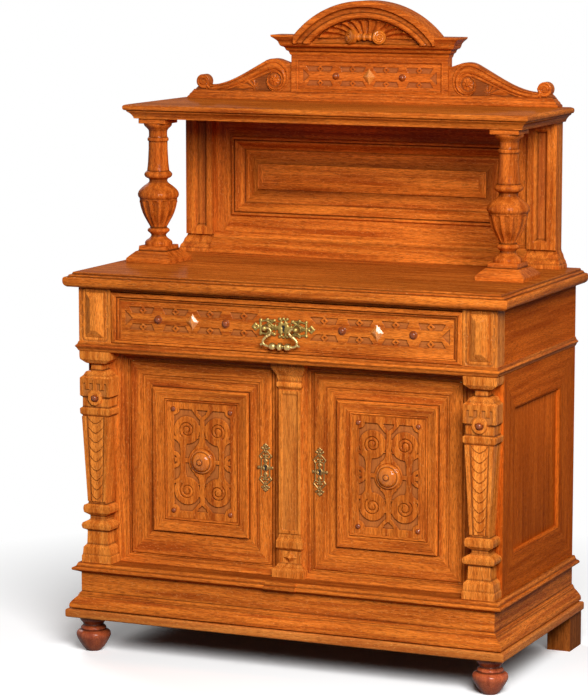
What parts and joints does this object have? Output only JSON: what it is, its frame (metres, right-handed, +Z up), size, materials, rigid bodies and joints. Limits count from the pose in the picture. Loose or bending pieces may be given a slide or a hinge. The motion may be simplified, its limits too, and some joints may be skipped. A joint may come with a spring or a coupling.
{
  "type": "buffet cabinet",
  "caption": "Carved oak buffet cabinet: panelled doors, frieze drawer with a brass bail pull, countertop, open niche between turned columns and a back panel, arched and scrolled crest.",
  "frame": {"origin": "on the floor, in the middle of the bounding box's footprint", "axes": "+Z up, front towards -Y, +X to the right as seen from the front"},
  "size_m": [1.166, 0.601, 1.62],
  "materials": {
    "oak": "satin varnish over golden brown stain",
    "inner_oak": "plain, unstained",
    "stained_oak": "satin varnish over red brown stain",
    "brass": "aged, soft sheen",
    "iron": "dull"
  },
  "bodies": {
    "carcass": {"back_board": "inner_oak", "bottom_board": "oak", "centre_stile": "oak", "countertop": "oak", "crest_arch": "oak", "crest_tablet": "oak", "inner_shelf": "inner_oak", "left_column": "oak", "left_corner_block": "oak", "left_corner_pilaster": "oak", "left_crest_wing": "oak", "left_door_lower_pivot": "brass", "left_door_upper_pivot": "brass", "left_drawer_guide": "inner_oak", "left_frieze_side": "oak", "left_front_foot": "stained_oak", "left_front_stile": "oak", "left_rear_foot": "stained_oak", "left_side_frame": "oak", "left_side_panel": "oak", "left_upper_post": "oak", "plinth_base": "oak", "plinth_frame": "oak", "right_column": "oak", "right_corner_block": "oak", "right_corner_pilaster": "oak", "right_crest_wing": "oak", "right_door_lower_pivot": "brass", "right_door_upper_pivot": "brass", "right_drawer_guide": "inner_oak", "right_frieze_side": "oak", "right_front_foot": "stained_oak", "right_front_stile": "oak", "right_rear_foot": "stained_oak", "right_side_frame": "oak", "right_side_panel": "oak", "right_upper_post": "oak", "top_shelf": "oak", "upper_back_frame": "oak", "upper_back_panel": "oak", "waist_board": "oak"},
    "left_door": {"left_door_frame": "oak", "left_door_panel": "oak", "left_escutcheon": "brass", "left_door_lock": "iron"},
    "right_door": {"right_door_frame": "oak", "right_door_panel": "oak", "right_escutcheon": "brass", "right_door_lock": "iron"},
    "left_bolt": {"left_door_bolt": "brass"},
    "right_bolt": {"right_door_bolt": "brass"},
    "drawer": {"drawer_front": "oak", "drawer_left_side": "inner_oak", "drawer_right_side": "inner_oak", "drawer_back": "inner_oak", "drawer_bottom": "inner_oak", "drawer_lock": "iron", "drawer_backplate": "brass"},
    "drawer_bolt": {"drawer_bolt": "brass"},
    "bail": {"drawer_bail": "brass"}
  },
  "joints": [
    {"name": "left_door_hinge", "type": "hinge", "parent": "carcass", "child": "left_door", "pos_m": [-0.4348, -0.2025, 0.49425], "axis": [0, 0, -1], "range_deg": [0, 95]},
    {"name": "right_door_hinge", "type": "hinge", "parent": "carcass", "child": "right_door", "pos_m": [0.4348, -0.2025, 0.49425], "axis": [0, 0, 1], "range_deg": [0, 95]},
    {"name": "left_bolt_slide", "type": "slide", "parent": "left_door", "child": "left_bolt", "axis": [1, 0, 0], "range_m": [0, 0.01]},
    {"name": "right_bolt_slide", "type": "slide", "parent": "right_door", "child": "right_bolt", "axis": [-1, 0, 0], "range_m": [0, 0.01]},
    {"name": "drawer_slide", "type": "slide", "parent": "carcass", "child": "drawer", "axis": [0, -1, 0], "range_m": [0, 0.3]},
    {"name": "drawer_bolt_slide", "type": "slide", "parent": "drawer", "child": "drawer_bolt", "axis": [0, 0, 1], "range_m": [0, 0.01]},
    {"name": "bail_hinge", "type": "hinge", "parent": "drawer", "child": "bail", "pos_m": [0, -0.2835, 0.85], "axis": [-1, 0, 0], "range_deg": [0, 85]}
  ]
}
